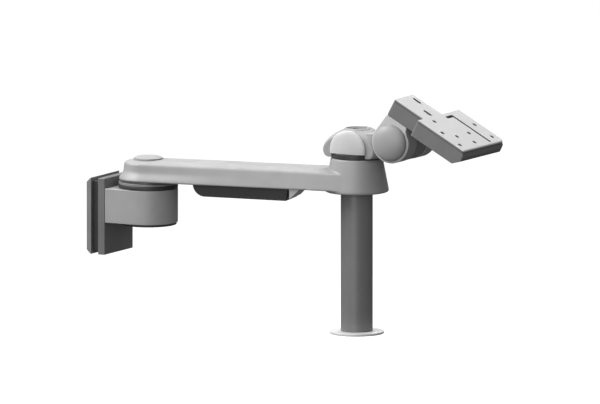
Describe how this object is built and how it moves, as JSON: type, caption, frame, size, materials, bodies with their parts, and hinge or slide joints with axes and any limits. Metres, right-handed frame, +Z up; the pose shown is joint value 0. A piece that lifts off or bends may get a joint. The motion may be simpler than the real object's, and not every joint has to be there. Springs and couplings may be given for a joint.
{
  "type": "wall-mounted swivel equipment arm",
  "caption": "Wall-mounted swivel arm with a drop post at its end and a domed swivel and tilt head that carries a flag-shaped equipment plate.",
  "frame": {"origin": "centre of the slide plate's back face, where it meets the wall track", "axes": "+X out of the wall, +Z up, +Y to the left of someone who faces the wall"},
  "size_m": [0.575, 0.1573, 0.3382],
  "materials": {
    "painted_light": "satin powder coat",
    "painted_wall": "satin dark paint",
    "slide_grey": "dark anodised",
    "black_plastic": "matte moulded",
    "post_grey": "satin paint",
    "foot_grey": "satin paint",
    "tray_grey": "fine texture paint",
    "plate_light": "fine texture paint",
    "cap_light": "satin moulded",
    "steel": "zinc plated",
    "bearing": "acetal"
  },
  "bodies": {
    "wall_bracket": {"slide_plate": "slide_grey", "slide_neck": "black_plastic", "front_plate": "painted_wall", "housing_screw_1": "steel", "housing_screw_2": "steel", "housing_screw_3": "steel", "housing_screw_4": "steel", "pivot_housing": "painted_light", "pivot_bush_upper": "bearing", "pivot_bush_lower": "bearing", "thrust_washer": "black_plastic", "stop_pin": "steel", "pivot_bottom_cap": "black_plastic"},
    "arm": {"turntable_disc": "cap_light", "pivot_spindle": "steel", "pivot_washer": "steel", "pivot_nut": "steel", "pivot_cap": "cap_light", "arm_casting": "painted_light", "arm_lid": "tray_grey", "cable_cover": "black_plastic", "cover_ramp": "cap_light", "cover_screw_1": "steel", "cover_screw_2": "steel", "post_tube": "post_grey", "post_foot": "foot_grey", "post_screw_1": "steel", "post_screw_2": "steel", "swivel_bush": "bearing"},
    "swivel_head": {"swivel_ring": "black_plastic", "swivel_spindle": "steel", "swivel_washer": "steel", "swivel_nut": "steel", "head_housing": "painted_light", "side_cap_near": "cap_light", "side_cap_far": "cap_light", "head_top_cap": "painted_light", "friction_washer_near": "bearing", "friction_washer_far": "bearing"},
    "tilt_head": {"tilt_bracket": "painted_light", "tilt_axle": "steel", "axle_nut": "steel", "end_cap_near": "painted_light", "end_cap_far": "painted_light", "plate_tray": "tray_grey", "equipment_plate": "plate_light", "plate_screw_1": "steel", "plate_screw_2": "steel", "plate_screw_3": "steel", "plate_screw_4": "steel", "bracket_screw_1": "steel", "bracket_screw_2": "steel", "bracket_screw_3": "steel"}
  },
  "joints": [
    {"name": "arm_swing", "type": "hinge", "parent": "wall_bracket", "child": "arm", "pos_m": [0.0751, 0, 0], "axis": [0, 0, 1], "range_deg": [-100, 80]},
    {"name": "head_swivel", "type": "hinge", "parent": "arm", "child": "swivel_head", "pos_m": [0.37547, 0.05296, 0], "axis": [0, 0, 1], "range_deg": [-150, 170]},
    {"name": "head_tilt", "type": "hinge", "parent": "swivel_head", "child": "tilt_head", "pos_m": [0.45067, 0.05296, 0.1252], "axis": [0, 1, 0], "range_deg": [-43.4, 6.6]}
  ]
}
